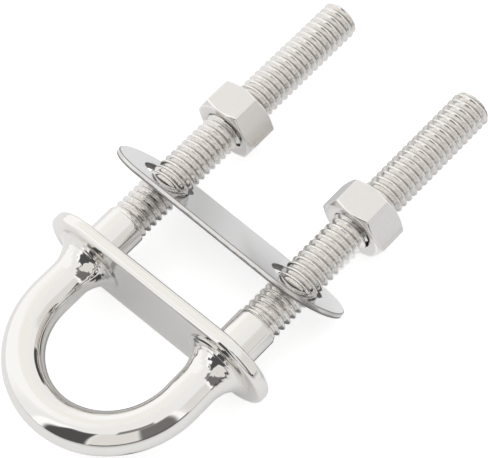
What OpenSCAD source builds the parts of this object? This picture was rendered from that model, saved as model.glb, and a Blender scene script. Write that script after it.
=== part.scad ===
// Pad eye with threaded legs: a bent round bar welded through an obround flange,
// a loose backing plate and two hex nuts. Millimetres.
// The fitting lies flat: the plane of the bent bar is horizontal and +Z is up.
// Origin: centre of the flange's mounting face, midway between the two legs.
// +Y runs along the legs, away from the eye. +X runs from the left leg to the right leg.

/* [Bent bar] */
// Diameter of the polished round bar in the eye
bar_d = 7.7; // [5:0.1:16]
// Distance between the centre lines of the two legs
leg_spacing = 32; // [22:0.5:70]
// Mounting face to the bar's centre line at the bottom of the eye
eye_reach = 28.2; // [22:0.2:60]
// Diameter of the plain shank behind the flange
shank_d = 8.1; // [5:0.1:16]
// Length of the plain shank, from the mounting face
shank_l = 7.1; // [2:0.1:20]
// How much smaller the thread's major diameter is than the shank
crest_drop = 0.35; // [0:0.05:1]
// Mounting face to the tip of each leg
leg_l = 66.2; // [45:0.2:160]
// Width of the chamfer round each leg's tip
tip_chamfer = 0.6; // [0.2:0.05:1.5]
// Height of the low dome on each leg's tip
tip_dome = 0.3; // [0.1:0.05:1]

/* [Flange] */
// Length of the flange, end to end
flange_l = 51.4; // [40:0.2:110]
// Width of the flange
flange_w = 19.1; // [14:0.1:40]
// Thickness of the flange
flange_t = 2.6; // [1.5:0.1:6]
// Radius that eases the flange's edges
flange_ease = 0.7; // [0.2:0.05:1.2]
// Space round each shank in the flange's holes, filled by the weld's root
weld_gap = 0.05; // [0.02:0.01:0.2]

/* [Weld fillets] */
// How far each weld fillet spreads beyond the bar
fillet_spread = 3.15; // [1.5:0.05:5]
// Height of the small rim at the foot of each fillet
fillet_rim = 0.35; // [0.1:0.05:1]
// Space between a fillet and the bar it is laid on
fillet_gap = 0.02; // [0.01:0.01:0.05]

/* [Backing plate] */
// Length of the backing plate, end to end
plate_l = 52.8; // [40:0.2:110]
// Width of the backing plate
plate_w = 20; // [14:0.1:40]
// Thickness of the backing plate
plate_t = 1.1; // [0.6:0.1:4]
// Radius that eases the backing plate's edges
plate_ease = 0.25; // [0.05:0.05:0.5]
// Distance from the mounting face to the middle of the plate as it lies
plate_y = 18; // [12:0.5:60]
// Lean of the plate about the line through the legs
plate_lean = 31.5; // [0:0.5:35]
// Sideways shift of the loose plate
plate_shift = -0.9; // [-1:0.1:1]
// Turn of the loose plate seen from above
plate_turn = -1.3; // [-2:0.1:2]
// Play left round a leg in the plate's holes when the plate leans
plate_play = 0.4; // [0.3:0.05:1]

/* [Nuts] */
// Distance across the nut's flats
nut_af = 12.5; // [8:0.1:26]
// Thickness of each nut
nut_t = 6.75; // [4:0.05:14]
// Slope of the chamfer on the nut's corners
nut_chamfer_angle = 30; // [15:1:40]
// Depth of the countersink at each end of the bore
nut_sink = 0.45; // [0.2:0.05:1]
// Running clearance between the nut's bore and the thread's crests, radial
nut_clear = 0.05; // [0.01:0.01:0.1]
// Mounting face to the near end of the left nut
left_nut_y = 32.75; // [26:0.05:120]
// Mounting face to the near end of the right nut
right_nut_y = 31.75; // [26:0.05:120]
// Turn of the left nut about its leg
left_nut_turn = 2.8; // [-30:0.1:30]
// Turn of the right nut about its leg
right_nut_turn = -1.3; // [-30:0.1:30]

/* [View] */
// Piece to draw

/* [Hidden] */
$fn = 96;
bow_r = leg_spacing / 2;
bow_y = -(eye_reach - bow_r);
bar_r = bar_d / 2;
shank_r = shank_d / 2;
thread_r = shank_r - crest_drop / 2;
tip_r = thread_r - tip_chamfer;
flange_hole_r = max(bar_r, shank_r) + weld_gap;
fillet_in_r = bar_r + fillet_gap;
fillet_out_r = bar_r + fillet_spread;
plate_hole_r = (shank_d + plate_t * sin(plate_lean)) / (2 * cos(plate_lean)) + plate_play;
nut_bore_r = thread_r + nut_clear;
nut_corner_r = nut_af / 2 / cos(30);
nut_face_r = nut_af / 2 - 0.1;
nut_slope = tan(nut_chamfer_angle);
dome_r = (tip_r * tip_r + tip_dome * tip_dome) / (2 * tip_dome);

polished = [0.86, 0.86, 0.84];
satin = [0.72, 0.72, 0.71];
bright = [0.80, 0.79, 0.77];

// Turns a shape drawn up the Z axis so that it runs along +Y.
module along_y() {
    rotate([-90, 0, 0])
        children();
}

// A plate with half-round ends, lying in X and Z, from y = 0 to y = t.
module obround_plate(l, w, t, ease) {
    reach = l / 2 - w / 2;
    along_y()
        union() {
            translate([-reach, 0, 0])
                rotate([90, 0, 90])
                    linear_extrude(height = 2 * reach)
                        union() {
                            eased_half(w, t, ease);
                            mirror([1, 0])
                                eased_half(w, t, ease);
                        }
            translate([reach, 0, 0])
                rotate([0, 0, -90])
                    rotate_extrude(angle = 180)
                        eased_half(w, t, ease);
            translate([-reach, 0, 0])
                rotate([0, 0, 90])
                    rotate_extrude(angle = 180)
                        eased_half(w, t, ease);
        }
}

// Half of a plate's section: from the middle out to an edge with eased corners.
module eased_half(w, t, ease) {
    union() {
        square([w / 2 - ease, t]);
        translate([0, ease])
            square([w / 2, t - 2 * ease]);
        translate([w / 2 - ease, ease])
            circle(r = ease);
        translate([w / 2 - ease, t - ease])
            circle(r = ease);
    }
}

// Half of a leg's section: bar end in the flange, shank, thread, chamfer and low dome.
module leg_section() {
    union() {
        polygon([
            [0, -flange_t],
            [bar_r, -flange_t],
            [bar_r, 0],
            [shank_r, 0],
            [shank_r, shank_l - (shank_r - thread_r)],
            [thread_r, shank_l],
            [thread_r, leg_l - tip_dome - tip_chamfer],
            [tip_r, leg_l - tip_dome],
            [0, leg_l - tip_dome]
        ]);
        intersection() {
            translate([0, leg_l - dome_r])
                circle(r = dome_r);
            translate([0, leg_l - tip_dome - tip_chamfer / 2])
                square([tip_r, tip_chamfer]);
        }
    }
}

// One leg, from the flange's eye-side face to its tip.
module leg() {
    along_y()
        rotate_extrude()
            leg_section();
}

// The bent round bar: half-round bow, two straight runs and the two threaded legs.
module u_bar() {
    color(polished)
        union() {
            translate([0, bow_y, 0])
                rotate([0, 0, 180])
                    rotate_extrude(angle = 180)
                        translate([bow_r, 0])
                            circle(r = bar_r);
            for (side = [-1, 1])
                translate([side * bow_r, 0, 0]) {
                    translate([0, bow_y, 0])
                        along_y()
                            cylinder(r = bar_r, h = -flange_t - bow_y);
                    leg();
                }
        }
}

// The obround flange that the bar passes through.
module flange_plate() {
    color(polished)
        difference() {
            translate([0, -flange_t, 0])
                obround_plate(flange_l, flange_w, flange_t, flange_ease);
            for (side = [-1, 1])
                translate([side * bow_r, -flange_t - 1, 0])
                    along_y()
                        cylinder(r = flange_hole_r, h = flange_t + 2);
        }
}

// One trumpet-shaped weld fillet, foot at z = 0 and rising up the bar.
module weld_fillet() {
    rotate_extrude()
        difference() {
            translate([fillet_in_r, 0])
                square([fillet_out_r - fillet_in_r, fillet_rim + fillet_spread]);
            translate([fillet_out_r, fillet_rim + fillet_spread])
                circle(r = fillet_spread);
        }
}

module left_weld_fillet() {
    color(bright)
        translate([-bow_r, -flange_t, 0])
            rotate([90, 0, 0])
                weld_fillet();
}

module right_weld_fillet() {
    color(bright)
        translate([bow_r, -flange_t, 0])
            rotate([90, 0, 0])
                weld_fillet();
}

// The loose backing plate, leaning on the legs.
module backing_plate() {
    color(satin)
        translate([plate_shift, plate_y, 0])
            rotate([0, 0, plate_turn])
                rotate([plate_lean, 0, 0])
                    difference() {
                        translate([0, -plate_t / 2, 0])
                            obround_plate(plate_l, plate_w, plate_t, plate_ease);
                        for (side = [-1, 1])
                            translate([side * bow_r, -plate_t / 2 - 1, 0])
                                along_y()
                                    cylinder(r = plate_hole_r, h = plate_t + 2);
                    }
}

// One hex nut along +Z, chamfered at both ends, with a plain running bore.
module hex_nut() {
    rise = (nut_corner_r - nut_face_r) * nut_slope;
    out_r = nut_corner_r + 1;
    over = (out_r - nut_corner_r) * nut_slope;
    difference() {
        intersection() {
            cylinder(r = nut_corner_r, h = nut_t, $fn = 6);
            rotate_extrude()
                polygon([
                    [0, 0],
                    [nut_face_r, 0],
                    [out_r, rise + over],
                    [out_r, nut_t - rise - over],
                    [nut_face_r, nut_t],
                    [0, nut_t]
                ]);
        }
        translate([0, 0, -1])
            cylinder(r = nut_bore_r, h = nut_t + 2);
        translate([0, 0, -1])
            cylinder(r1 = nut_bore_r + nut_sink + 1, r2 = nut_bore_r, h = nut_sink + 1);
        translate([0, 0, nut_t - nut_sink])
            cylinder(r1 = nut_bore_r, r2 = nut_bore_r + nut_sink + 1, h = nut_sink + 1);
    }
}

module left_nut() {
    color(satin)
        translate([-bow_r, left_nut_y, 0])
            along_y()
                rotate([0, 0, -left_nut_turn])
                    hex_nut();
}

module right_nut() {
    color(satin)
        translate([bow_r, right_nut_y, 0])
            along_y()
                rotate([0, 0, -right_nut_turn])
                    hex_nut();
}

u_bar();
flange_plate();
left_weld_fillet();
right_weld_fillet();
backing_plate();
left_nut();
right_nut();
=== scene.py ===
import math

import bmesh
import bpy
from bpy.props import (
    FloatProperty,
    FloatVectorProperty,
    IntProperty,
    PointerProperty,
)
from mathutils import Matrix, Vector, noise


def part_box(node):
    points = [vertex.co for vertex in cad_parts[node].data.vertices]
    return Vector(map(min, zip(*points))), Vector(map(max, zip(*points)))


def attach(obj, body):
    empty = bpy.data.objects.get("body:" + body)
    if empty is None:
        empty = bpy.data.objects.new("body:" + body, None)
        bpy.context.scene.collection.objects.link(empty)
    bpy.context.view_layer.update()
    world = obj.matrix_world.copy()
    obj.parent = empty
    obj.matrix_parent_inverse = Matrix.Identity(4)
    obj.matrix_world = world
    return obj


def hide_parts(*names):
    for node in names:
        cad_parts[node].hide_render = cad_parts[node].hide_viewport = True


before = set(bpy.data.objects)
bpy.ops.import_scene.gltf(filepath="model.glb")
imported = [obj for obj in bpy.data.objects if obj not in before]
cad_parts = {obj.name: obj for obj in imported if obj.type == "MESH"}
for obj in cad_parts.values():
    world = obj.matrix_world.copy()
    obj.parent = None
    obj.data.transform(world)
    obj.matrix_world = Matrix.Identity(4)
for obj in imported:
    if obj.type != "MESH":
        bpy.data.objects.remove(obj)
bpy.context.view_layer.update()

bl_info = {
    "name": "Pad Eye Builder",
    "version": (1, 0, 0),
    "blender": (4, 5, 0),
    "location": "3D View > Sidebar > Pad Eye",
    "description": "Builds a stainless pad eye with threaded legs, backing plate and nuts",
    "category": "Add Mesh",
}

MM = 0.001


def node_box(node):
    """The lowest and highest corners of a CAD node, as vectors in metres."""
    low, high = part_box(node)
    return Vector(low), Vector(high)


def node_centre(node):
    """The middle of a CAD node's box."""
    low, high = node_box(node)
    return (low + high) / 2


BAR_LOW, BAR_HIGH = node_box("u_bar")
FLANGE_LOW, FLANGE_HIGH = node_box("flange_plate")
FILLET_LOW, FILLET_HIGH = node_box("left_weld_fillet")
LEFT_LEG_X = node_centre("left_nut").x
RIGHT_LEG_X = node_centre("right_nut").x


def srgb(hex_code):
    """A colour written as sRGB hex, turned to the linear values that shaders take."""
    parts = [int(hex_code[i : i + 2], 16) / 255 for i in (1, 3, 5)]
    return tuple(c / 12.92 if c <= 0.04045 else ((c + 0.055) / 1.055) ** 2.4 for c in parts)


# ---------------------------------------------------------------- sizes and finishes


def length(name, description, default):
    """A length in metres, up to 200 mm."""
    return FloatProperty(
        name=name,
        description=description,
        default=default,
        min=0.0,
        max=0.2,
        subtype="DISTANCE",
        unit="LENGTH",
        precision=5,
    )


def angle(name, description, degrees):
    """An angle, given in degrees."""
    return FloatProperty(
        name=name,
        description=description,
        default=math.radians(degrees),
        subtype="ANGLE",
        unit="ROTATION",
    )


def colour(name, description, hex_code):
    """A colour, given as sRGB hex."""
    return FloatVectorProperty(
        name=name,
        description=description,
        default=srgb(hex_code),
        size=3,
        min=0.0,
        max=1.0,
        subtype="COLOR",
    )


class PadEyeSizes(bpy.types.PropertyGroup):
    """Sizes of the pad eye's pieces."""

    bar_diameter: length("Bar diameter", "Polished round bar of the eye", 7.7 * MM)
    bar_waviness: length("Bar waviness", "Height of the low waves left by polishing", 0.035 * MM)
    flare_height: length("Weld flare height", "How far each weld flare climbs the bar", 5.2 * MM)
    flare_ripple: length("Weld flare ripple", "Height of the ripples in the weld metal", 0.105 * MM)
    flange_ease: length("Flange edge radius", "Radius that eases the flange's edges", 0.85 * MM)
    shank_diameter: length("Shank diameter", "Plain shank behind the flange", 8.1 * MM)
    shank_length: length("Shank length", "Plain shank, from the mounting face", 7.1 * MM)
    thread_diameter: length("Thread diameter", "Over the crests of the thread", 7.75 * MM)
    thread_pitch: length("Thread pitch", "Advance of the thread in one turn", 25.4 / 18 * MM)
    thread_depth: length("Thread depth", "Crest to root, radial", 0.78 * MM)
    tip_chamfer: length("Tip chamfer", "Chamfer round each leg's tip", 0.6 * MM)
    tip_dome: length("Tip dome", "Height of the low dome on each tip", 0.3 * MM)
    plate_thickness: length("Plate thickness", "Thickness of the backing plate", 1.1 * MM)
    plate_length: length("Plate length", "Backing plate, end to end", 52.8 * MM)
    plate_width: length("Plate width", "Backing plate, across", 20 * MM)
    plate_hole: length("Plate hole", "Diameter of the backing plate's oversize holes", 10.3 * MM)
    plate_hole_shift: length("Plate hole shift", "Holes' shift right of the middle", 0.4 * MM)
    plate_lean: angle("Plate lean", "Lean of the plate about the line through the legs", 31.5)
    plate_turn: angle("Plate turn", "Turn of the backing plate seen from above", -1.3)
    nut_flats: length("Across flats", "Distance across the nut's flats", 12.5 * MM)
    nut_turn_left: angle("Left nut turn", "Turn of the left nut about its leg", 2.8)
    nut_turn_right: angle("Right nut turn", "Turn of the right nut about its leg", -1.3)
    thread_around: IntProperty(
        name="Thread segments",
        description="Facets round one turn of thread",
        default=72,
        min=24,
        max=128,
    )


class PadEyeFinish(bpy.types.PropertyGroup):
    """Colours of the finishes and of the set."""

    mirror_colour: colour("Mirror steel", "Mirror-polished stainless steel", "#ECEAE7")
    sheet_colour: colour("Sheet steel", "Cold-rolled sheet of the backing plate", "#DBDBDB")
    satin_colour: colour("Satin steel", "Tumbled stainless steel of the nuts", "#E4E2E0")
    # This colour is also the painted highlight on the nut's rounded edges.
    thread_and_highlight_colour: colour("Thread steel", "Rolled stainless thread", "#F2EFEC")
    # Painted shade: the darker colour of the thread's roots stands in for the shade between its
    # flanks.
    root_shade_colour: colour("Thread roots", "Dull steel in the roots of the thread", "#B9B7B4")
    edge_colour: colour("Blanked edges", "Torn edges of the blanked plate", "#9D9B98")
    floor_colour: colour("Floor", "Pale floor", "#F2F2F2")


# ---------------------------------------------------------------- mesh helpers


def new_piece(name, bm, materials, smooth_angle=None):
    """Turns a bmesh into a smooth object at the origin, with its faces outward."""
    bmesh.ops.recalc_face_normals(bm, faces=bm.faces)
    mesh = bpy.data.meshes.new(name)
    bm.to_mesh(mesh)
    bm.free()
    for material in materials:
        mesh.materials.append(material)
    for polygon in mesh.polygons:
        polygon.use_smooth = True
    if smooth_angle is not None:
        mesh.set_sharp_from_angle(angle=math.radians(smooth_angle))
    piece = bpy.data.objects.new(name, mesh)
    bpy.context.scene.collection.objects.link(piece)
    return piece


def plain_mesh(piece):
    """Bakes a piece's modifiers into its mesh and removes them."""
    evaluated = piece.evaluated_get(bpy.context.evaluated_depsgraph_get())
    mesh = bpy.data.meshes.new_from_object(evaluated)
    piece.modifiers.clear()
    old, piece.data = piece.data, mesh
    bpy.data.meshes.remove(old)
    mesh.name = piece.name
    return piece


def weigh_normals(piece):
    """Keeps flat faces flat in the shading beside their narrow rounded edges."""
    modifier = piece.modifiers.new("weighted", "WEIGHTED_NORMAL")
    modifier.keep_sharp = True
    modifier.weight = 80
    return plain_mesh(piece)


def join_rings(bm, ring_a, ring_b):
    """Quads between two rings of as many vertices each."""
    count = len(ring_a)
    for i in range(count):
        j = (i + 1) % count
        bm.faces.new((ring_a[i], ring_a[j], ring_b[j], ring_b[i]))


def fill_between(bm, rings):
    """Fills the flat face between an outer ring and the rings inside it."""
    edges = set()
    for ring in rings:
        for i in range(len(ring)):
            edges.add(bm.edges.get((ring[i], ring[(i + 1) % len(ring)])))
    bmesh.ops.triangle_fill(bm, use_beauty=True, use_dissolve=False, edges=list(edges))


def rounded_profile(points, radius, steps):
    """A polyline with each inner corner replaced by a short curve of that many steps."""
    out = [points[0]]
    for before, corner, after in zip(points, points[1:], points[2:]):
        before, corner, after = Vector(before), Vector(corner), Vector(after)
        room = 0.45 * min((corner - before).length, (after - corner).length)
        reach = min(radius, room)
        start = corner + (before - corner).normalized() * reach
        end = corner + (after - corner).normalized() * reach
        for k in range(steps + 1):
            t = k / steps
            out.append(start * (1 - t) ** 2 + corner * 2 * t * (1 - t) + end * t * t)
    out.append(points[-1])
    return [Vector(point) for point in out]


def waves(point, size, seed):
    """Smooth noise between about -1 and 1 with features of the given size."""
    return noise.noise(point / size + Vector((seed, 2.3 * seed, -1.7 * seed)))


# ---------------------------------------------------------------- node helpers


def add_node(tree, kind, settings=None, links=None):
    """Adds one node with its settings, and gives its inputs their values or links."""
    node = tree.nodes.new(kind)
    for key, value in (settings or {}).items():
        if isinstance(key, str) and hasattr(node, key):
            setattr(node, key, value)
        else:
            node.inputs[key].default_value = value
    for key, source in (links or {}).items():
        if isinstance(source, bpy.types.NodeSocket):
            tree.links.new(source, node.inputs[key])
        else:
            node.inputs[key].default_value = source
    return node


# Vertices of a thread's sheet that are nearer than this are one vertex.
MERGE_WITHIN = 0.004 * MM
# The two open ends of a thread are told apart to this step of Y.
RING_STEP = 0.05 * MM

# The screw thread worked out step by step: result, operation, and what it works on. Lengths are
# in metres; around, upward, peak, flank and groove run from 0 to 1. The flank's straight line
# runs a little past root and crest and is cut off softly at both, which rounds them.
GRID_STEPS = (
    ("span", "SUBTRACT", "End", "Start"),
    ("full turns", "DIVIDE", "span", "Pitch"),
    ("spare turns", "ADD", "full turns", 1.0),
    ("turns", "CEIL", "spare turns"),
    ("rows", "MULTIPLY", "turns", "Rows Per Turn"),
    ("row lines", "ADD", "rows", 1.0),
    ("column lines", "ADD", "Around", 1.0),
)
THREAD_STEPS = (
    ("around", "ADD", "grid x", 0.5),
    ("upward", "ADD", "grid y", 0.5),
    ("along", "MULTIPLY_ADD", "upward", "turns", -1.0),
    ("slanted", "ADD", "along", "around"),
    ("free y", "MULTIPLY_ADD", "slanted", "Pitch", "Start"),
    ("begun y", "MAXIMUM", "free y", "Start"),
    ("y", "MINIMUM", "begun y", "End"),
    ("from start", "SUBTRACT", "y", "Start"),
    ("travelled", "DIVIDE", "from start", "Pitch"),
    ("unwound", "SUBTRACT", "travelled", "around"),
    ("shifted", "ADD", "unwound", "Phase"),
    ("half peak", "PINGPONG", "shifted", 0.5),
    ("peak", "MULTIPLY", "half peak", 2.0),
    ("slope line", "MULTIPLY_ADD", "peak", 1.32, -0.08),
    ("round crest", "SMOOTH_MIN", "slope line", 1.0, 0.3),
    ("flank", "SMOOTH_MAX", "round crest", 0.0, 0.12),
    ("groove", "SUBTRACT", 1.0, "flank"),
    ("depth", "SUBTRACT", "Crest Radius", "Root Radius"),
    ("cut radius", "MULTIPLY_ADD", "flank", "depth", "Root Radius"),
    ("run share", "DIVIDE", "from start", "Start Run"),
    ("share", "MINIMUM", "run share", 1.0),
    ("start gap", "SUBTRACT", "cut radius", "Start Radius"),
    ("begun radius", "MULTIPLY_ADD", "share", "start gap", "Start Radius"),
    ("to end", "SUBTRACT", "End", "y"),
    ("cone drop", "SUBTRACT", "Crest Radius", "End Radius"),
    ("cone slope", "DIVIDE", "cone drop", "End Run"),
    ("cone radius", "MULTIPLY_ADD", "to end", "cone slope", "End Radius"),
    ("capped radius", "MINIMUM", "begun radius", "cone radius"),
    ("at end", "LESS_THAN", "to end", 1e-7),
    ("last gap", "SUBTRACT", "End Radius", "capped radius"),
    ("radius", "MULTIPLY_ADD", "at end", "last gap", "capped radius"),
    ("turn", "MULTIPLY", "around", 2 * math.pi),
    ("sine", "SINE", "turn"),
    ("cosine", "COSINE", "turn"),
    ("x", "MULTIPLY_ADD", "sine", "radius", "Axis X"),
    ("z", "MULTIPLY", "cosine", "radius"),
)


def thread_tree():
    """Geometry Nodes: one right-hand screw thread along +Y as a single closed helical sheet.

    A grid is wound round the axis with its rows slanted by one pitch a turn, so that each row
    follows the helix. Rows that pass either end are held there and merged into a plain ring.
    """
    tree = bpy.data.node_groups.new("screw_thread", "GeometryNodeTree")
    face = tree.interface
    named = (
        ("Start", "NodeSocketFloat", 0.0),
        ("End", "NodeSocketFloat", 0.05),
        ("Pitch", "NodeSocketFloat", 1.411 * MM),
        ("Crest Radius", "NodeSocketFloat", 3.875 * MM),
        ("Root Radius", "NodeSocketFloat", 3.1 * MM),
        ("Start Radius", "NodeSocketFloat", 3.875 * MM),
        ("End Radius", "NodeSocketFloat", 3.275 * MM),
        ("Start Run", "NodeSocketFloat", 1.2 * MM),
        ("End Run", "NodeSocketFloat", 0.6 * MM),
        ("Phase", "NodeSocketFloat", 0.0),
        ("Axis X", "NodeSocketFloat", 0.0),
        ("Around", "NodeSocketInt", 72),
        ("Rows Per Turn", "NodeSocketInt", 14),
        ("Material", "NodeSocketMaterial", None),
    )
    for name, kind, default in named:
        socket = face.new_socket(name=name, in_out="INPUT", socket_type=kind)
        if default is not None:
            socket.default_value = default
    face.new_socket(name="Geometry", in_out="OUTPUT", socket_type="NodeSocketGeometry")
    given = add_node(tree, "NodeGroupInput").outputs
    known = {name: given[name] for name, kind, default in named}
    for result, operation, *terms in GRID_STEPS:
        inputs = dict(enumerate(known.get(term, term) for term in terms))
        step = add_node(tree, "ShaderNodeMath", {"operation": operation}, inputs)
        known[result] = step.outputs[0]
    grid = add_node(
        tree,
        "GeometryNodeMeshGrid",
        {"Size X": 1.0, "Size Y": 1.0},
        {"Vertices X": known["column lines"], "Vertices Y": known["row lines"]},
    )
    spot = add_node(tree, "GeometryNodeInputPosition").outputs[0]
    parts = add_node(tree, "ShaderNodeSeparateXYZ", {}, {0: spot}).outputs
    known["grid x"], known["grid y"] = parts[0], parts[1]
    for result, operation, *terms in THREAD_STEPS:
        inputs = dict(enumerate(known.get(term, term) for term in terms))
        step = add_node(tree, "ShaderNodeMath", {"operation": operation}, inputs)
        known[result] = step.outputs[0]
    shape = grid.outputs["Mesh"]
    for mark in ("groove", "peak"):
        shape = add_node(
            tree,
            "GeometryNodeStoreNamedAttribute",
            {"data_type": "FLOAT", "domain": "POINT", "Name": mark},
            {"Geometry": shape, "Value": known[mark]},
        ).outputs[0]
    wound = add_node(
        tree,
        "ShaderNodeCombineXYZ",
        {},
        {0: known["x"], 1: known["y"], 2: known["z"]},
    )
    placed = add_node(
        tree,
        "GeometryNodeSetPosition",
        {},
        {"Geometry": shape, "Position": wound.outputs[0]},
    )
    merged = add_node(
        tree,
        "GeometryNodeMergeByDistance",
        {"Distance": MERGE_WITHIN},
        {"Geometry": placed.outputs[0]},
    )
    smooth = add_node(tree, "GeometryNodeSetShadeSmooth", {}, {"Geometry": merged.outputs[0]})
    real = add_node(tree, "GeometryNodeRealizeInstances", {}, {"Geometry": smooth.outputs[0]})
    painted = add_node(
        tree,
        "GeometryNodeSetMaterial",
        {},
        {"Geometry": real.outputs[0], "Material": given["Material"]},
    )
    add_node(tree, "NodeGroupOutput", {}, {"Geometry": painted.outputs[0]})
    return tree


def grown_thread(values):
    """The thread tree's result for one set of inputs, as a bmesh."""
    tree = bpy.data.node_groups.get("screw_thread") or thread_tree()
    carrier = bpy.data.objects.new("thread_carrier", bpy.data.meshes.new("thread_carrier"))
    bpy.context.scene.collection.objects.link(carrier)
    modifier = carrier.modifiers.new("thread", "NODES")
    modifier.node_group = tree
    sockets = {s.name: s.identifier for s in tree.interface.items_tree if s.in_out == "INPUT"}
    for name, value in values.items():
        modifier[sockets[name]] = value
    plain_mesh(carrier)
    bm = bmesh.new()
    bm.from_mesh(carrier.data)
    old = carrier.data
    bpy.data.objects.remove(carrier)
    bpy.data.meshes.remove(old)
    if not bm.verts:
        raise RuntimeError("the thread tree made no geometry")
    return bm


def open_rings(bm, axis_x):
    """The open end loops of a thread, lowest Y first, each ordered round the axis."""
    edge_verts = {v for e in bm.edges if e.is_boundary for v in e.verts}
    rings = {}
    for vert in edge_verts:
        rings.setdefault(round(vert.co.y / RING_STEP), []).append(vert)
    if len(rings) != 2:
        raise RuntimeError(f"the thread has {len(rings)} open rings, and two are expected")
    ordered = []
    for key in sorted(rings):
        ordered.append(sorted(rings[key], key=lambda v: math.atan2(v.co.x - axis_x, v.co.z)))
    return ordered


def carry_rings(bm, ring, axis_x, stations):
    """Continues an open ring through (radius, y) stations, to a pole where the radius is 0."""
    turns = [math.atan2(v.co.x - axis_x, v.co.z) for v in ring]
    for radius, y in stations:
        if radius <= 0:
            pole = bm.verts.new((axis_x, y, 0))
            for i in range(len(ring)):
                bm.faces.new((ring[i], ring[(i + 1) % len(ring)], pole))
            return None
        after = []
        for turn in turns:
            x, z = axis_x + radius * math.sin(turn), radius * math.cos(turn)
            after.append(bm.verts.new((x, y, z)))
        join_rings(bm, ring, after)
        ring = after
    return ring


# ---------------------------------------------------------------- materials


# Sizes of the cloudy drift of tone on bare steel, and of the small pits in a rolled thread.
CLOUD_SIZE = 9 * MM
PIT_SIZE = 0.3 * MM
# A thread's root is where it is cut deeper than this share of its depth.
ROOT_FROM = 0.88
# The fold lies past this share of the way from the root's middle to the crest's middle, and is
# this many times as deep as the grain is high.
FOLD_FROM = 0.84
FOLD_DEPTH = 2.0
# How dark a pit is, as a share of the steel's tone.
PIT_TONE = 0.9


def steel(
    name, colour_value, tone, rough, rough_swing, grain_mm, bump_mm, stretch=(1, 1, 1), groove=None
):
    """A bare stainless steel: tone drifts a little, and fine grain breaks up its gloss.

    tone is the darkest share of the colour, and grain_mm and bump_mm are the grain's size and
    height. Where groove gives a colour and a roughness, a thread's roots have them, the colour
    being painted shade in the roots, and the fold that rolling leaves runs along its crest.
    """
    material = bpy.data.materials.new(name)
    material.use_nodes = True
    tree = material.node_tree
    tree.nodes.clear()
    place = add_node(tree, "ShaderNodeTexCoord").outputs["Object"]
    cloud = add_node(
        tree,
        "ShaderNodeTexNoise",
        {"Scale": 1 / CLOUD_SIZE, "Detail": 3.0, "Roughness": 0.55},
        {"Vector": place},
    )
    darker = tuple(c * tone for c in colour_value) + (1.0,)
    tint = add_node(
        tree,
        "ShaderNodeMix",
        {"data_type": "RGBA", 6: darker, 7: tuple(colour_value) + (1.0,)},
        {0: cloud.outputs["Fac"]},
    )
    turned = add_node(tree, "ShaderNodeMapping", {"Scale": stretch}, {"Vector": place})
    grain = add_node(
        tree,
        "ShaderNodeTexNoise",
        {"Scale": 1 / (grain_mm * MM), "Detail": 4.0, "Roughness": 0.6},
        {"Vector": turned.outputs[0]},
    )
    rubbed = add_node(
        tree,
        "ShaderNodeMapRange",
        {
            "From Min": 0.3,
            "From Max": 0.7,
            "To Min": rough - rough_swing,
            "To Max": rough + rough_swing,
        },
        {"Value": grain.outputs["Fac"]},
    )
    tone_out, rough_out, height = tint.outputs[2], rubbed.outputs[0], grain.outputs["Fac"]
    if groove:
        mark = add_node(tree, "ShaderNodeAttribute", {"attribute_name": "groove"}).outputs["Fac"]
        # Painted shade: where the thread is cut deepest its colour turns to the darker root colour;
        # the roots' roughness is their own.
        painted_root_tone, root_rough = groove
        low = add_node(
            tree,
            "ShaderNodeMapRange",
            {"interpolation_type": "SMOOTHSTEP", "From Min": ROOT_FROM},
            {"Value": mark},
        ).outputs[0]
        tone_out = add_node(
            tree,
            "ShaderNodeMix",
            {"data_type": "RGBA", 7: tuple(painted_root_tone) + (1.0,)},
            {0: low, 6: tone_out},
        ).outputs[2]
        rough_out = add_node(
            tree,
            "ShaderNodeMix",
            {"data_type": "FLOAT", 3: root_rough},
            {0: low, 2: rough_out},
        ).outputs[0]
        pits = add_node(
            tree,
            "ShaderNodeTexNoise",
            {"Scale": 1 / PIT_SIZE, "Detail": 2.0},
            {"Vector": place},
        ).outputs["Fac"]
        shine = add_node(
            tree,
            "ShaderNodeMapRange",
            {"From Min": 0.42, "From Max": 0.56, "To Min": PIT_TONE},
            {"Value": pits},
        ).outputs[0]
        tone_out = add_node(
            tree,
            "ShaderNodeMix",
            {"data_type": "RGBA", "blend_type": "MULTIPLY", 0: 1.0},
            {6: tone_out, 7: shine},
        ).outputs[2]
        peak = add_node(tree, "ShaderNodeAttribute", {"attribute_name": "peak"}).outputs["Fac"]
        fold = add_node(
            tree,
            "ShaderNodeMapRange",
            {"interpolation_type": "SMOOTHSTEP", "From Min": FOLD_FROM, "To Max": -FOLD_DEPTH},
            {"Value": peak},
        ).outputs[0]
        both = add_node(tree, "ShaderNodeMath", {"operation": "ADD"}, {0: height, 1: fold})
        height = both.outputs[0]
    bump = add_node(
        tree,
        "ShaderNodeBump",
        {"Strength": 1.0, "Distance": bump_mm * MM},
        {"Height": height},
    )
    shader = add_node(
        tree,
        "ShaderNodeBsdfPrincipled",
        {"Metallic": 1.0},
        {"Base Color": tone_out, "Roughness": rough_out, "Normal": bump.outputs[0]},
    )
    out = add_node(tree, "ShaderNodeOutputMaterial")
    tree.links.new(shader.outputs[0], out.inputs[0])
    return material


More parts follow.
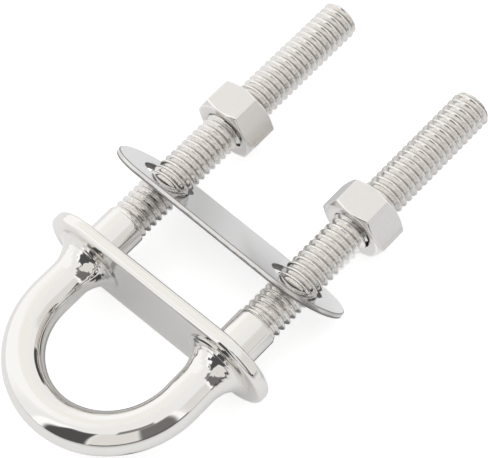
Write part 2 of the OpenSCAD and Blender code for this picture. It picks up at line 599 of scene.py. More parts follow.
def finish(name):
    """The named finish, made the first time it is asked for.

    After the colour come the darkest tone, the roughness and its swing, the grain's size and
    height in mm, and how much finer the grain is along each axis.
    """
    if name in bpy.data.materials:
        return bpy.data.materials[name]
    colours = bpy.context.scene.pad_eye_finish
    if name == "mirror_polished_stainless":
        # Stainless bar and plate, buffed by hand: sharp reflections with faint hairlines.
        return steel(name, colours.mirror_colour, 0.97, 0.045, 0.015, 0.6, 0.0005)
    if name == "turned_stainless_shank":
        # Bright drawn bar: streaks run round the shank, and gloss is a little softer.
        return steel(name, colours.mirror_colour, 0.96, 0.1, 0.03, 0.5, 0.001, (1, 3, 1))
    if name == "rolled_stainless_thread":
        # Thread rolled in bright bar: burnished crests, with small bright and dull specks, and
        # painted shade in the roots.
        roots = (colours.root_shade_colour, 0.2)
        return steel(name, colours.thread_and_highlight_colour, 0.96, 0.05, 0.03, 0.5, 0.022, groove=roots)
    if name == "tumbled_stainless":
        # Forged nut tumbled in fine media: an even satin with no direction.
        return steel(name, colours.satin_colour, 0.93, 0.2, 0.04, 0.5, 0.0012)
    if name == "burnished_edge_painted_highlight":
        # Edges of the nut: a thin light line of painted highlight in a brighter colour, with the
        # smoother gloss that tumbling wears there.
        return steel(name, colours.thread_and_highlight_colour, 0.96, 0.16, 0.02, 0.5, 0.0005)
    if name == "rolled_stainless_sheet":
        # Cold-rolled sheet, blanked: a dull mirror on the faces.
        return steel(name, colours.sheet_colour, 0.97, 0.1, 0.02, 0.4, 0.0005, (0.3, 1, 1))
    if name == "sheared_stainless_edge":
        # The burnished part of a blanked edge: bright, with streaks along the edge from the die.
        return steel(name, colours.satin_colour, 0.9, 0.3, 0.06, 0.35, 0.012, (0.15, 1, 1))
    if name == "torn_stainless_edge":
        # The last part of a blanked edge, where the sheet tore: dull, dark and grainy. The same
        # dark finish also lies on the rounded rim of the plate's upper face and on its holes'
        # walls.
        return steel(name, colours.edge_colour, 0.8, 0.42, 0.06, 0.25, 0.04)
    raise RuntimeError(f"there is no finish named {name}")


# ---------------------------------------------------------------- the pieces


# The eye's skin is laid in rings of vertices: so many round the bar, up a weld flare and along
# half the bow, and this far apart on the straight runs.
BAR_AROUND = 132
FLARE_RINGS = 52
BOW_RINGS = 64
STRAIGHT_GAP = 0.25 * MM
# Height of the upright rim at a flare's foot, and how far the skin is drawn in under it.
FLARE_RIM = 0.32 * MM
FLARE_TOE = 0.16 * MM
# Power of the flare's hollow curve: 1 would be a straight cone and 2 a quarter of an ellipse.
FLARE_POWER = 1.8
# Spacing and height of the rings that grinding leaves round a flare's foot.
GRIND_SPACING = 0.62 * MM
GRIND_HEIGHT = 0.022 * MM
# Depth of the creases between beads of weld metal.
CREASE_DEPTH = 0.03 * MM
# The weld's lumps fade out at this many times the flare's height.
LUMPS_REACH = 1.15


def flare_stations(bar_r, foot_r, flare, depth):
    """Stations (distance from the flange's face, radius) through the flange and up a flare."""
    stations = [
        (-depth, bar_r),
        (-0.05 * MM, bar_r),
        (-0.04 * MM, foot_r - FLARE_TOE),
        (0.1 * MM, foot_r - FLARE_TOE * 0.8),
        (FLARE_RIM - 0.12 * MM, foot_r - 0.05 * MM),
        (FLARE_RIM - 0.06 * MM, foot_r),
    ]
    # The rings crowd toward the foot, where the flare bends most.
    for k in range(1, FLARE_RINGS + 1):
        height = FLARE_RIM + (flare - FLARE_RIM) * (k / FLARE_RINGS) ** 1.5
        climb = (height - FLARE_RIM) / (flare - FLARE_RIM)
        hollow = max(0.0, 1 - (1 - climb) ** FLARE_POWER) ** (1 / FLARE_POWER)
        stations.append((height, foot_r - (foot_r - bar_r) * hollow))
    return stations


def skin_swell(point, sizes, radius, lumps, spread):
    """How far the hand-finished skin stands off its true form at a point.

    lumps falls from 1 at a flare's foot to 0 just past its top, and spread is how much of the
    flare's full width the skin has there.
    """
    polishing = waves(point, 7 * MM, 3.1) + 0.5 * waves(point, 3 * MM, 8.2)
    beads = waves(point, 2.2 * MM, 5.7) + 0.25 * waves(point, 1.0 * MM, 1.3)
    grinding = math.sin(2 * math.pi * radius / GRIND_SPACING + 4 * waves(point, 4 * MM, 6.4))
    crease = max(0.0, 1 - 5 * abs(waves(point, 1.3 * MM, 9.9)))
    off_rim = 1 - spread**4
    swell = sizes.bar_waviness * polishing
    swell += sizes.flare_ripple * lumps * (1 - spread**3) * beads
    swell += GRIND_HEIGHT * grinding * min(1.0, max(0.0, 3 * spread - 0.9)) * off_rim
    swell -= CREASE_DEPTH * crease * min(1.0, 2 * lumps) * off_rim
    return swell


class PADEYE_OT_eye(bpy.types.Operator):
    """Builds the polished half-round eye with the weld flares at its feet"""

    bl_idname = "pad_eye.eye"
    bl_label = "Polished Eye"

    def execute(self, context):
        sizes = context.scene.pad_eye_sizes
        bar_r = sizes.bar_diameter / 2
        bow_r = (RIGHT_LEG_X - LEFT_LEG_X) / 2
        bow_y = BAR_LOW.y + bar_r + bow_r
        face_y = FLANGE_LOW.y
        foot_r = (FILLET_HIGH.x - FILLET_LOW.x) / 2
        flare = sizes.flare_height
        straight = face_y - bow_y

        # Stations run from the left foot to the crown, and the rest are the same mirrored.
        stations = flare_stations(bar_r, foot_r, flare, FLANGE_HIGH.y - face_y)
        run = flare
        while run < straight - STRAIGHT_GAP:
            run += STRAIGHT_GAP
            stations.append((run, bar_r))
        for k in range(1, BOW_RINGS):
            stations.append((straight + bow_r * (k / BOW_RINGS) * math.pi / 2, bar_r))
        crown = straight + bow_r * math.pi / 2
        whole = stations + [(crown, bar_r)] + [(2 * crown - s, r) for s, r in reversed(stations)]

        bm = bmesh.new()
        rings = []
        for index, (run, radius) in enumerate(whole):
            if run <= straight:
                centre = Vector((LEFT_LEG_X, face_y - run, 0))
                out = Vector((-1, 0, 0))
                ahead = Vector((0, -1, 0))
            elif run >= 2 * crown - straight:
                centre = Vector((RIGHT_LEG_X, face_y - (2 * crown - run), 0))
                out = Vector((1, 0, 0))
                ahead = Vector((0, 1, 0))
            else:
                bend = (run - straight) / bow_r
                out = Vector((-math.cos(bend), -math.sin(bend), 0))
                ahead = Vector((math.sin(bend), -math.cos(bend), 0))
                centre = Vector((0, bow_y, 0)) + out * bow_r
            before, after = whole[max(0, index - 1)], whole[min(len(whole) - 1, index + 1)]
            slope = Vector((after[0] - before[0], after[1] - before[1])).normalized()
            near_foot = min(run, 2 * crown - run)
            below = near_foot < FLARE_RIM + 0.01 * MM
            lumps = max(0.0, 1 - max(0.0, near_foot) / (flare * LUMPS_REACH))
            spread = (radius - bar_r) / (foot_r - bar_r)
            ring = []
            for k in range(BAR_AROUND):
                turn = 2 * math.pi * k / BAR_AROUND
                normal = out * math.cos(turn) + Vector((0, 0, 1)) * math.sin(turn)
                point = centre + normal * radius
                if not below:
                    swell = skin_swell(point, sizes, radius, lumps, spread)
                    point = point + (normal * slope.x - ahead * slope.y) * swell
                ring.append(bm.verts.new(point))
            rings.append(ring)
        for ring_a, ring_b in zip(rings, rings[1:]):
            join_rings(bm, ring_a, ring_b)
        bm.faces.new(rings[0])
        bm.faces.new(rings[-1])
        eye = new_piece("polished_eye", bm, [finish("mirror_polished_stainless")], 55)
        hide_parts("u_bar", "left_weld_fillet", "right_weld_fillet")
        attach(eye, "eye_body")
        return {"FINISHED"}


# Points round each half-round end of a plate, and round each of its holes.
END_STEPS = 40
HOLE_AROUND = 96
# Points along a plate's straight side: few where it is plain, more where a tear runs along it.
PLAIN_SIDE_STEPS = 24
TORN_SIDE_STEPS = 72
# How far the torn line wanders up and down a blanked edge, and over what distance.
TEAR_HEIGHT = 0.1 * MM
TEAR_LENGTH = 0.9 * MM


def obround_outline(length_value, width, inset, side_steps):
    """Points of a plate's outline with half-round ends, drawn in by inset, in X and Z."""
    radius = width / 2 - inset
    reach = length_value / 2 - width / 2
    points = []
    for sign in (1, -1):
        for k in range(END_STEPS + 1):
            turn = math.pi * (k / END_STEPS - 0.5)
            along = reach + radius * math.cos(turn)
            points.append((sign * along, sign * radius * math.sin(turn)))
        for k in range(1, side_steps):
            points.append((sign * reach * (1 - 2 * k / side_steps), sign * radius))
    return points


def pierced_plate(plate, ease, ease_steps, hole_r, hole_ease, torn=0.0, hole_shift=0.0):
    """A closed obround plate from y = 0 to y = its thickness, with a round hole for each leg.

    plate is its length, width and thickness, and ease rounds its outer edges. Where torn is given,
    that much of its blanked edge, the rounded rim of its upper face and the walls of its holes take
    material 2, and the rest of the edge material 1.
    """
    length_value, width, thickness = plate
    hole_gap = RIGHT_LEG_X - LEFT_LEG_X
    bm = bmesh.new()
    profile = []
    for k in range(ease_steps + 1):
        turn = math.pi / 2 * k / ease_steps
        profile.append((ease * (1 - math.sin(turn)), ease * (1 - math.cos(turn))))
    upper = [(inset, thickness - height) for inset, height in reversed(profile)]
    profile += ([(0.0, torn)] if torn else []) + upper
    side_steps = TORN_SIDE_STEPS if torn else PLAIN_SIDE_STEPS
    outer = []
    for inset, height in profile:
        ring = []
        for x, z in obround_outline(length_value, width, inset, side_steps):
            ragged = 0.0
            if torn and height == torn:
                ragged = TEAR_HEIGHT * waves(Vector((x, 0, z)), TEAR_LENGTH, 4.4)
            ring.append(bm.verts.new((x, height + ragged, z)))
        outer.append(ring)
    for ring_a, ring_b in zip(outer, outer[1:]):
        join_rings(bm, ring_a, ring_b)
    # The band below the torn line and the rounded rim of the upper face take the dark edge finish,
    # and the sheared finish lies between them.
    if torn:
        for part in bm.faces:
            middle = part.calc_center_median().y
            part.material_index = 2 if middle < torn or middle > thickness - 0.6 * ease else 1
    holes = []
    for sign in (-1, 1):
        rings = []
        lip = [
            (hole_r + hole_ease, 0),
            (hole_r, hole_ease),
            (hole_r, thickness - hole_ease),
            (hole_r + hole_ease, thickness),
        ]
        for radius, height in rounded_profile(lip, hole_ease, 2):
            ring = []
            for k in range(HOLE_AROUND):
                turn = 2 * math.pi * k / HOLE_AROUND
                across = hole_shift + sign * hole_gap / 2 + radius * math.cos(turn)
                ring.append(bm.verts.new((across, height, radius * math.sin(turn))))
            rings.append(ring)
        # On a torn plate the holes' walls take the dark edge finish all through.
        wall_from = len(bm.faces)
        for ring_a, ring_b in zip(rings, rings[1:]):
            join_rings(bm, ring_a, ring_b)
        bm.faces.ensure_lookup_table()
        for index in range(wall_from, len(bm.faces)):
            bm.faces[index].material_index = 2 if torn else 0
        holes.append(rings)
    for end in (0, -1):
        fill_between(bm, (outer[end], holes[0][end], holes[1][end]))
    return bm


# Space round the bar in the flange's holes, hidden under the weld.
WELD_GAP = 0.05 * MM


class PADEYE_OT_flange(bpy.types.Operator):
    """Builds the polished obround flange with eased edges"""

    bl_idname = "pad_eye.flange"
    bl_label = "Flange"

    def execute(self, context):
        sizes = context.scene.pad_eye_sizes
        size = FLANGE_HIGH - FLANGE_LOW
        hole_r = sizes.bar_diameter / 2 + WELD_GAP
        bm = pierced_plate((size.x, size.z, size.y), sizes.flange_ease, 5, hole_r, WELD_GAP)
        bmesh.ops.translate(bm, verts=bm.verts, vec=(0, FLANGE_LOW.y, 0))
        flange = new_piece("flange", bm, [finish("mirror_polished_stainless")], 60)
        weigh_normals(flange)
        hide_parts("flange_plate")
        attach(flange, "eye_body")
        return {"FINISHED"}


# Where each leg's thread begins in its turn, as a share of a turn.
THREAD_PHASES = {"left": 0.15, "right": 0.62}
# How far the thread's first turn starts below its crests.
THREAD_START_DROP = 0.1 * MM
# The rounding at the shank's two ends, in mm: how much thinner it is, and how far from the end.
SHOULDER_CURVE = ((0.06, 0.04), (0.02, 0.07), (0.0, 0.14))
FOOT_CURVE = ((0.02, 0.04), (0.06, 0.0))
# Rings of vertices along the shank and up the dome on a leg's tip, as shares of the way.
SHANK_SHARES = (0.9, 0.75, 0.6, 0.45, 0.3, 0.15, 0.03)
DOME_SHARES = (0.97, 0.85, 0.65, 0.45, 0.25)


class PADEYE_OT_legs(bpy.types.Operator):
    """Builds the two legs: plain shank, rolled thread and chamfered tip"""

    bl_idname = "pad_eye.legs"
    bl_label = "Threaded Legs"

    def execute(self, context):
        sizes = context.scene.pad_eye_sizes
        crest = sizes.thread_diameter / 2
        shank = sizes.shank_diameter / 2
        begin = sizes.shank_length
        end = BAR_HIGH.y - sizes.tip_dome
        tip_r = crest - sizes.tip_chamfer
        for side, axis_x in (("left", LEFT_LEG_X), ("right", RIGHT_LEG_X)):
            bm = grown_thread(
                {
                    "Start": begin,
                    "End": end,
                    "Pitch": sizes.thread_pitch,
                    "Crest Radius": crest,
                    "Root Radius": crest - sizes.thread_depth,
                    "Start Radius": crest - THREAD_START_DROP,
                    "End Radius": tip_r,
                    "Start Run": 0.8 * sizes.thread_pitch,
                    "End Run": sizes.tip_chamfer,
                    "Phase": THREAD_PHASES[side],
                    "Axis X": axis_x,
                    "Around": sizes.thread_around,
                    "Rows Per Turn": 20,
                    "Material": finish("rolled_stainless_thread"),
                }
            )
            near, far = open_rings(bm, axis_x)
            thread_faces = set(bm.faces)
            plain = [(shank - drop * MM, begin - back * MM) for drop, back in SHOULDER_CURVE]
            plain += [(shank, begin * share) for share in SHANK_SHARES]
            plain += [(shank - drop * MM, up * MM) for drop, up in FOOT_CURVE]
            carry_rings(bm, near, axis_x, plain + [(0, 0)])
            dome = []
            for share in DOME_SHARES:
                dome.append((tip_r * share, end + sizes.tip_dome * (1 - share**2)))
            carry_rings(bm, far, axis_x, dome + [(0, end + sizes.tip_dome)])
            for part in bm.faces:
                part.material_index = 0 if part in thread_faces else 1
            finishes = [finish("rolled_stainless_thread"), finish("turned_stainless_shank")]
            leg = new_piece(f"{side}_threaded_leg", bm, finishes, 62)
            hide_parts("u_bar")
            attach(leg, "eye_body")
        return {"FINISHED"}


PLATE_FINISHES = ("rolled_stainless_sheet", "sheared_stainless_edge", "torn_stainless_edge")
# Radius of the plate's blanked edges and of the lips of its holes, and height of the torn band.
PLATE_EASE = 0.22 * MM
PLATE_LIP = 0.12 * MM
PLATE_TORN = 0.42 * MM
# The plate must lie where its frame node does, to this distance.
PLATE_TOLERANCE = 0.15 * MM


class PADEYE_OT_backing_plate(bpy.types.Operator):
    """Builds the thin loose backing plate with its oversize holes"""

    bl_idname = "pad_eye.backing_plate"
    bl_label = "Backing Plate"

    def execute(self, context):
        sizes = context.scene.pad_eye_sizes
        bm = pierced_plate(
            (sizes.plate_length, sizes.plate_width, sizes.plate_thickness),
            PLATE_EASE,
            4,
            sizes.plate_hole / 2,
            PLATE_LIP,
            torn=PLATE_TORN,
            hole_shift=sizes.plate_hole_shift,
        )
        centre = node_centre("backing_plate")
        place = (
            Matrix.Translation(centre)
            @ Matrix.Rotation(sizes.plate_turn, 4, "Z")
            @ Matrix.Rotation(sizes.plate_lean, 4, "X")
            @ Matrix.Translation((0, -sizes.plate_thickness / 2, 0))
        )
        bm.transform(place)
        finishes = [finish(name) for name in PLATE_FINISHES]
        plate = new_piece("backing_plate_sheet", bm, finishes, 60)
        weigh_normals(plate)
        low = node_box("backing_plate")[0]
        for axis in range(3):
            lowest = min(v.co[axis] for v in plate.data.vertices)
            if abs(lowest - low[axis]) > PLATE_TOLERANCE:
                raise RuntimeError("the backing plate doesn't lie where its frame node does")
        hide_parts("backing_plate")
        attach(plate, "plate_body")
        return {"FINISHED"}


# Radii of a nut's six corners, and of the edges of its faces and chamfers with their steps.
CORNER_ROUND = 0.6 * MM
EDGE_ROUND = 0.24 * MM
EDGE_STEPS = 3
# Slope of a nut's chamfers in degrees, how far inside the flats they start, and the width of the
# ring of vertices on the flat face within them.
CHAMFER_SLOPE = 30
CHAMFER_INSET = 0.22 * MM
FACE_RING = 0.5 * MM
# Where a nut's outline has vertices on either side of each corner, in degrees.
CORNER_TURNS = (0.0, 0.35, 0.7, 1.1, 1.6, 2.4, 3.6, 5.5, 8, 11, 15, 19, 23, 27)
# A nut's bore: its gap round the leg's crests, the depth of its thread, how far the thread stands
# back at its ends, and the depth of the countersinks with the widths of their lips.
BORE_GAP = 0.05 * MM
BORE_THREAD = 0.3 * MM
BORE_END = 0.02 * MM
SINK_DEPTH = 0.3 * MM
SINK_LIP = 0.05 * MM
SINK_SPREAD = 0.03 * MM


def hex_radius(turn, flat):
    """Distance from a nut's centre to its outline, with corners at multiples of 60 degrees."""
    off = (turn + math.pi / 6) % (math.pi / 3) - math.pi / 6
    to_flat = flat / math.cos(math.pi / 6 - abs(off))
    centre = (flat - CORNER_ROUND) / math.cos(math.pi / 6)
    inner = CORNER_ROUND**2 - (centre * math.sin(off)) ** 2
    if inner <= 0:
        return to_flat
    return min(to_flat, centre * math.cos(off) + math.sqrt(inner))


class PADEYE_OT_nuts(bpy.types.Operator):
    """Builds the two hex nuts: chamfered both ends, with threaded bores"""

    bl_idname = "pad_eye.nuts"
    bl_label = "Hex Nuts"

    def execute(self, context):
        sizes = context.scene.pad_eye_sizes
        flat = sizes.nut_flats / 2
        bore = sizes.thread_diameter / 2 + BORE_GAP
        face_r = flat - CHAMFER_INSET
        slope = math.tan(math.radians(CHAMFER_SLOPE))
        offsets = sorted({-d for d in CORNER_TURNS} | set(CORNER_TURNS) | {30.0})
        turns = [math.radians(60 * k + d) for k in range(6) for d in offsets]
        for side, nut_turn in (("left", sizes.nut_turn_left), ("right", sizes.nut_turn_right)):
            node = f"{side}_nut"
            low, high = node_box(node)
            axis_x = (low.x + high.x) / 2
            thick = high.y - low.y
            bm = grown_thread(
                {
                    "Start": low.y + SINK_DEPTH,
                    "End": high.y - SINK_DEPTH,
                    "Pitch": sizes.thread_pitch,
                    "Crest Radius": bore + BORE_THREAD,
                    "Root Radius": bore,
                    "Start Radius": bore + BORE_END,
                    "End Radius": bore + BORE_END,
                    "Start Run": 0.5 * sizes.thread_pitch,
                    "End Run": BORE_THREAD,
                    "Phase": 0.3,
                    "Axis X": axis_x,
                    "Around": 96,
                    "Rows Per Turn": 12,
                    "Material": finish("tumbled_stainless"),
                }
            )
            near, far = open_rings(bm, axis_x)
            mouth = bore + BORE_END + SINK_DEPTH
            mouths = []
            for ring, face_y, inward in ((near, low.y, 1), (far, high.y, -1)):
                lip = (mouth - SINK_LIP, face_y + inward * SINK_LIP)
                mouths.append(carry_rings(bm, ring, axis_x, [lip, (mouth + SINK_SPREAD, face_y)]))
            columns = []
            for turn in turns:
                reach = hex_radius(turn, flat)
                lift = (reach - face_r) * slope
                corners = [
                    (face_r - FACE_RING, 0, 0),
                    (face_r, 0, 0),
                    (reach, lift, 0),
                    (reach, thick - lift, 0),
                    (face_r, thick, 0),
                    (face_r - FACE_RING, thick, 0),
                ]
                columns.append(rounded_profile(corners, EDGE_ROUND, EDGE_STEPS))
            rings = []
            for row in range(len(columns[0])):
                ring = []
                for turn, column in zip(turns, columns):
                    radius, height = column[row].x, column[row].y
                    x = axis_x + radius * math.cos(turn + nut_turn)
                    z = radius * math.sin(turn + nut_turn)
                    ring.append(bm.verts.new((x, low.y + height, z)))
                rings.append(ring)
            # Strips that round an edge take a painted highlight and a smoother gloss; one in
            # EDGE_STEPS + 1 lies between edges.
            for row, (ring_a, ring_b) in enumerate(zip(rings, rings[1:])):
                first = len(bm.faces)
                join_rings(bm, ring_a, ring_b)
                bm.faces.ensure_lookup_table()
                if row % (EDGE_STEPS + 1):
                    for face in bm.faces[first:]:
                        face.material_index = 1
            fill_between(bm, (rings[0], mouths[0]))
            fill_between(bm, (rings[-1], mouths[1]))
            finishes = [finish("tumbled_stainless"), finish("burnished_edge_painted_highlight")]
            nut = new_piece(f"{side}_hex_nut", bm, finishes, 60)
            weigh_normals(nut)
            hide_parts(node)
            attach(nut, f"{side}_nut_body")
        return {"FINISHED"}


# ---------------------------------------------------------------- the set


# Cards that stand round the object: name, azimuths and elevations in degrees (azimuth 0 is
# toward -Y and 90 toward +X), distance in metres, soft border in degrees, colour, brightness.
STUDIO_CARDS = (
    ("left_white_card", (-150, -36), (-2, 84), 1.25, 24, "#FFFFFF", 1.14),
    ("back_cream_card", (-215, -95), (30, 88), 1.2, 22, "#FFFDFA", 1.04),
    ("right_grey_card", (92, 150), (-2, 52), 1.2, 14, "#F3F0ED", 0.93),
    ("near_strip_card", (-28, -14), (-2, 64), 1.15, 4, "#FFFFFF", 1.2),
    ("front_flag", (-17, 19), (-2, 60), 1.0, 4, "#565656", 1.0),
    ("front_panel", (18, 57), (-2, 60), 1.05, 4, "#EFEBE8", 1.0),
    ("side_flag", (54, 90), (-2, 57), 1.0, 5, "#7A7877", 1.0),
    ("side_strip_card", (87, 98), (-2, 60), 1.15, 4, "#FFFFFF", 1.15),
    ("lens_flag", (32, 76), (52, 67), 0.9, 4, "#8A8987", 1.0),
    ("horizon_flag", (18, 100), (-2, 5), 0.95, 3, "#4A4948", 1.0),
)


# Painted shade: patches of the floor as the steel mirrors it, painted darker near and under the
# fitting, between its parts and far in front of it: centre and half size in mm in X and Y,
# softness in mm, strength. A strength below 0 paints light on a patch instead.
PAINTED_FLOOR_SHADES = (
    ((7, -18), (9, 7.5), 2, 0.92),
    ((-8, -15), (5, 4), 2, 0.5),
    ((-4, -6), (24, 4), 3, 0.16),
    ((4, 10), (4, 4), 2, 0.25),
    ((17, 27), (9, 6), 3, -0.85),
    ((-15, 7), (4.5, 6), 2, 0.68),
    ((17.5, 7), (4.5, 6), 2, 0.68),
    ((9, 52), (10, 22), 5, 0.42),
    ((46, 45), (14, 32), 8, 0.32),
    ((600, -145), (450, 205), 60, 0.25),
)


FLOOR_RADIUS = 4.0
# The floor's paint takes this share of its colour, and it glows this much where it is seen.
FLOOR_PAINT = 0.74
FLOOR_GLOW = 0.64
# As the steel mirrors it, the floor glows this much near the fitting and behind it, and not at
# all far in front: the direction of the front, and where the glow starts and stops to fade.
MIRROR_GLOW = 0.28
FRONT = (0.643, -0.766, 0.0)
FADE_FROM, FADE_TO = 0.05, 0.17

# Soft square lamps: name, place in metres, width in metres, brightness.
SOFTBOXES = (
    ("top_softbox", (0.05, 0.02, 0.8), 0.8, 1.0),
    ("left_softbox", (-0.55, -0.1, 0.62), 0.7, 1.2),
    ("back_softbox", (0.25, 0.62, 0.55), 0.6, 0.8),
)
# The points that the lamps are aimed at and that the cards stand round.
LAMP_AIM = Vector((0, 0.017, 0))
CARD_CENTRE = Vector((0, 0.01, 0))
# Faces of a card, across and up.
CARD_GRID = (28, 20)
# Brightness of the room as a diffuse surface gets it; it is 1 where it is seen or mirrored.
ROOM_LIGHT = 0.5

# The camera: azimuth, elevation and roll in degrees, place in metres, lens in mm.
CAMERA_TURNS = (52.4, 59.5, -11.0)
CAMERA_PLACE = (0.1368, -0.0846, 0.2907)
CAMERA_LENS = 139.4


class PADEYE_OT_stage(bpy.types.Operator):
    """Sets the floor, the soft studio light and the camera"""

    bl_idname = "pad_eye.stage"
    bl_label = "Studio Stage"

    def execute(self, context):
        scene = context.scene
        finish_colours = scene.pad_eye_finish
        scene.view_settings.view_transform = "Standard"
        floor_z = FLANGE_LOW.z
        bm = bmesh.new()
        bmesh.ops.create_circle(bm, cap_ends=True, segments=96, radius=FLOOR_RADIUS)
        bmesh.ops.translate(bm, verts=bm.verts, vec=(0, 0, floor_z))
        floor = new_piece("floor", bm, [self.floor_paint(finish_colours)])
        self.light_world(scene)
        for softbox in SOFTBOXES:
            self.hang_softbox(*softbox)
        for card in STUDIO_CARDS:
            self.hang_card(*card)
        self.aim_camera(scene)
        return {"FINISHED"}

    def floor_paint(self, colours):
        """Pale floor, white where it is seen, with soft shadows, and with patches of painted shade
        and painted light that only the steel's reflections show.
        """
        material = bpy.data.materials.new("pale_floor")
        material.use_nodes = True
        tree = material.node_tree
        tree.nodes.clear()
        path = add_node(tree, "ShaderNodeLightPath").outputs
        place = add_node(tree, "ShaderNodeTexCoord").outputs["Object"]
        # Painted shade: each patch adds its strength, and a patch below 0 paints light.
        painted_shade = None
        for centre, half, soft, strength in PAINTED_FLOOR_SHADES:
            middle = tuple(v * MM for v in centre) + (0.0,)
            reach = tuple(v * MM for v in half) + (0.0,)
            off = add_node(
                tree,
                "ShaderNodeVectorMath",
                {"operation": "SUBTRACT", 1: middle},
                {0: place},
            )
            far = add_node(
                tree,
                "ShaderNodeVectorMath",
                {"operation": "ABSOLUTE"},
                {0: off.outputs[0]},
            )
            past = add_node(
                tree,
                "ShaderNodeVectorMath",
                {"operation": "SUBTRACT", 1: reach},
                {0: far.outputs[0]},
            )
            parts = add_node(tree, "ShaderNodeSeparateXYZ", {}, {0: past.outputs[0]}).outputs
            worst = add_node(
                tree,
                "ShaderNodeMath",
                {"operation": "MAXIMUM"},
                {0: parts[0], 1: parts[1]},
            )
            share = add_node(
                tree,
                "ShaderNodeMapRange",
                {
                    "interpolation_type": "SMOOTHSTEP",
                    "From Min": -soft * MM,
                    "From Max": soft * MM,
                    "To Min": strength,
                    "To Max": 0.0,
                },
                {"Value": worst.outputs[0]},
            ).outputs[0]
            if painted_shade is not None:
                share = add_node(
                    tree,
                    "ShaderNodeMath",
                    {"operation": "ADD"},
                    {0: painted_shade, 1: share},
                ).outputs[0]
            painted_shade = share
        # Only in the steel's reflections does the painted shade darken the floor's paint. It also
        # dims the glow that the steel mirrors, and a patch below 0 brightens that glow.
        mirrored = path["Is Glossy Ray"]
        dark = add_node(
            tree,
            "ShaderNodeMath",
            {"operation": "MULTIPLY"},
            {0: mirrored, 1: painted_shade},
        )
        open_colour = tuple(c * FLOOR_PAINT for c in colours.floor_colour) + (1.0,)
        tone = add_node(
            tree,
            "ShaderNodeMix",
            {"data_type": "RGBA", 6: open_colour, 7: (0.0, 0.0, 0.0, 1.0)},
            {0: dark.outputs[0]},
        )
        paint = add_node(tree, "ShaderNodeBsdfDiffuse", {}, {"Color": tone.outputs[2]})
        direct = add_node(
            tree,
            "ShaderNodeMath",
            {"operation": "MAXIMUM"},
            {0: path["Is Camera Ray"], 1: path["Is Transmission Ray"]},
        )
        ahead = add_node(
            tree,
            "ShaderNodeVectorMath",
            {"operation": "DOT_PRODUCT", 1: FRONT},
            {0: place},
        ).outputs["Value"]
        dimmer = add_node(
            tree,
            "ShaderNodeMapRange",
            {
                "interpolation_type": "SMOOTHSTEP",
                "From Min": FADE_FROM,
                "From Max": FADE_TO,
                "To Min": MIRROR_GLOW,
                "To Max": 0.0,
            },
            {"Value": ahead},
        ).outputs[0]
        open_share = add_node(
            tree,
            "ShaderNodeMath",
            {"operation": "SUBTRACT", 0: 1.0},
            {1: painted_shade},
        )
        lifted = add_node(
            tree,
            "ShaderNodeMath",
            {"operation": "MULTIPLY"},
            {0: dimmer, 1: open_share.outputs[0]},
        )
        mirror_level = add_node(
            tree,
            "ShaderNodeMath",
            {"operation": "MULTIPLY"},
            {0: mirrored, 1: lifted.outputs[0]},
        )
        level = add_node(
            tree,
            "ShaderNodeMath",
            {"operation": "MULTIPLY_ADD", 1: FLOOR_GLOW},
            {0: direct.outputs[0], 2: mirror_level.outputs[0]},
        )
        glow = add_node(
            tree,
            "ShaderNodeEmission",
            {"Color": (1, 1, 1, 1)},
            {"Strength": level.outputs[0]},
        )
        both = add_node(tree, "ShaderNodeAddShader", {}, {0: paint.outputs[0], 1: glow.outputs[0]})
        add_node(tree, "ShaderNodeOutputMaterial", {}, {0: both.outputs[0]})
        return material

    def light_world(self, scene):
        """Even pale light from all round, white where it is seen."""
        world = bpy.data.worlds.new("studio_room")
        world.use_nodes = True
        scene.world = world
        tree = world.node_tree
        tree.nodes.clear()
        path = add_node(tree, "ShaderNodeLightPath").outputs
        first = add_node(
            tree,
            "ShaderNodeMath",
            {"operation": "MAXIMUM"},
            {0: path["Is Camera Ray"], 1: path["Is Glossy Ray"]},
        )
        seen = add_node(
            tree,
            "ShaderNodeMath",
            {"operation": "MAXIMUM"},
            {0: first.outputs[0], 1: path["Is Transmission Ray"]},
        )
        paper = {"Color": (1, 1, 1, 1)}
        soft = add_node(tree, "ShaderNodeBackground", {**paper, "Strength": ROOM_LIGHT})
        white = add_node(tree, "ShaderNodeBackground", {**paper, "Strength": 1.0})
        mixed = add_node(
            tree,
            "ShaderNodeMixShader",
            {},
            {0: seen.outputs[0], 1: soft.outputs[0], 2: white.outputs[0]},
        )
        out = add_node(tree, "ShaderNodeOutputWorld")
        tree.links.new(mixed.outputs[0], out.inputs[0])

    def hang_softbox(self, name, place, width, level):
        """A square soft light aimed at the object; the steel mirrors the cards instead."""
        lamp = bpy.data.lights.new(name, "AREA")
        lamp.shape = "SQUARE"
        lamp.size = width
        lamp.energy = level * math.pi * width * width
        light = bpy.data.objects.new(name, lamp)
        bpy.context.scene.collection.objects.link(light)
        aim = LAMP_AIM - Vector(place)
        light.location = place
        light.rotation_euler = aim.to_track_quat("-Z", "Y").to_euler()
        light.visible_glossy = False

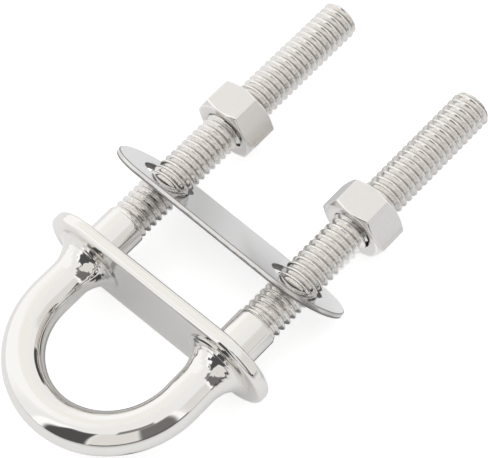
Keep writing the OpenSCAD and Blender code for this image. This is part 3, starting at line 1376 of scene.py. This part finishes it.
    def hang_card(self, name, azimuths, elevations, distance, feather, hex_code, level):
        """A curved card round the object, seen only in reflections, with soft borders."""
        across, up = CARD_GRID
        bm = bmesh.new()
        cover = bm.verts.layers.float.new("cover")
        rows = []
        for j in range(up + 1):
            elevation = elevations[0] + (elevations[1] - elevations[0]) * j / up
            row = []
            for i in range(across + 1):
                azimuth = azimuths[0] + (azimuths[1] - azimuths[0]) * i / across
                a, e = math.radians(azimuth), math.radians(elevation)
                ray = Vector((math.sin(a) * math.cos(e), -math.cos(a) * math.cos(e), math.sin(e)))
                vert = bm.verts.new(CARD_CENTRE + ray * distance)
                border = min(
                    azimuth - azimuths[0],
                    azimuths[1] - azimuth,
                    elevations[1] - elevation,
                    elevation - elevations[0] if elevations[0] > 0 else feather,
                )
                share = min(1.0, max(0.0, border / feather))
                vert[cover] = share * share * (3 - 2 * share)
                row.append(vert)
            rows.append(row)
        for row_a, row_b in zip(rows, rows[1:]):
            for i in range(across):
                bm.faces.new((row_a[i], row_a[i + 1], row_b[i + 1], row_b[i]))
        material = bpy.data.materials.new(name)
        material.use_nodes = True
        tree = material.node_tree
        tree.nodes.clear()
        shade = srgb(hex_code) + (1.0,)
        glow = add_node(tree, "ShaderNodeEmission", {"Color": shade, "Strength": level})
        clear = add_node(tree, "ShaderNodeBsdfTransparent")
        share = add_node(tree, "ShaderNodeAttribute", {"attribute_name": "cover"}).outputs["Fac"]
        mixed = add_node(
            tree,
            "ShaderNodeMixShader",
            {},
            {0: share, 1: clear.outputs[0], 2: glow.outputs[0]},
        )
        out = add_node(tree, "ShaderNodeOutputMaterial")
        tree.links.new(mixed.outputs[0], out.inputs[0])
        card = new_piece(name, bm, [material])
        card.visible_camera = card.visible_diffuse = card.visible_shadow = False
        card.visible_transmission = card.visible_volume_scatter = False

    def aim_camera(self, scene):
        """Long lens from above the eye's side, rolled a little to the left."""
        azimuth, elevation, roll = (math.radians(v) for v in CAMERA_TURNS)
        back = Vector(
            (
                math.cos(elevation) * math.sin(azimuth),
                -math.cos(elevation) * math.cos(azimuth),
                math.sin(elevation),
            )
        )
        level = Vector((math.cos(azimuth), math.sin(azimuth), 0))
        rise = back.cross(level)
        right = level * math.cos(roll) + rise * math.sin(roll)
        up = rise * math.cos(roll) - level * math.sin(roll)
        lens = bpy.data.cameras.new("camera")
        lens.lens = CAMERA_LENS
        lens.sensor_width = 36
        lens.sensor_fit = "HORIZONTAL"
        lens.clip_start = 0.01
        lens.clip_end = 50
        camera = bpy.data.objects.new("camera", lens)
        scene.collection.objects.link(camera)
        turned = Matrix((right, up, back)).transposed().to_4x4()
        camera.matrix_world = Matrix.Translation(CAMERA_PLACE) @ turned
        scene.camera = camera


class PADEYE_PT_panel(bpy.types.Panel):
    """Lists the pad eye's pieces, sizes and finishes."""

    bl_label = "Pad Eye"
    bl_idname = "PADEYE_PT_panel"
    bl_space_type = "VIEW_3D"
    bl_region_type = "UI"
    bl_category = "Pad Eye"

    def draw(self, context):
        column = self.layout.column(align=True)
        for kind in OPERATORS:
            column.operator(kind.bl_idname)
        for group in (context.scene.pad_eye_sizes, context.scene.pad_eye_finish):
            column = self.layout.column(align=True)
            for name in group.bl_rna.properties.keys():
                if name not in ("rna_type", "name"):
                    column.prop(group, name)


OPERATORS = (
    PADEYE_OT_stage,
    PADEYE_OT_eye,
    PADEYE_OT_flange,
    PADEYE_OT_legs,
    PADEYE_OT_backing_plate,
    PADEYE_OT_nuts,
)
CLASSES = (PadEyeSizes, PadEyeFinish) + OPERATORS + (PADEYE_PT_panel,)


def register():
    for kind in CLASSES:
        bpy.utils.register_class(kind)
    bpy.types.Scene.pad_eye_sizes = PointerProperty(type=PadEyeSizes)
    bpy.types.Scene.pad_eye_finish = PointerProperty(type=PadEyeFinish)


def unregister():
    del bpy.types.Scene.pad_eye_finish
    del bpy.types.Scene.pad_eye_sizes
    for kind in reversed(CLASSES):
        bpy.utils.unregister_class(kind)


def main():
    register()
    bpy.ops.pad_eye.stage()
    bpy.ops.pad_eye.eye()
    bpy.ops.pad_eye.flange()
    bpy.ops.pad_eye.legs()
    bpy.ops.pad_eye.backing_plate()
    bpy.ops.pad_eye.nuts()


if __name__ == "__main__":
    main()
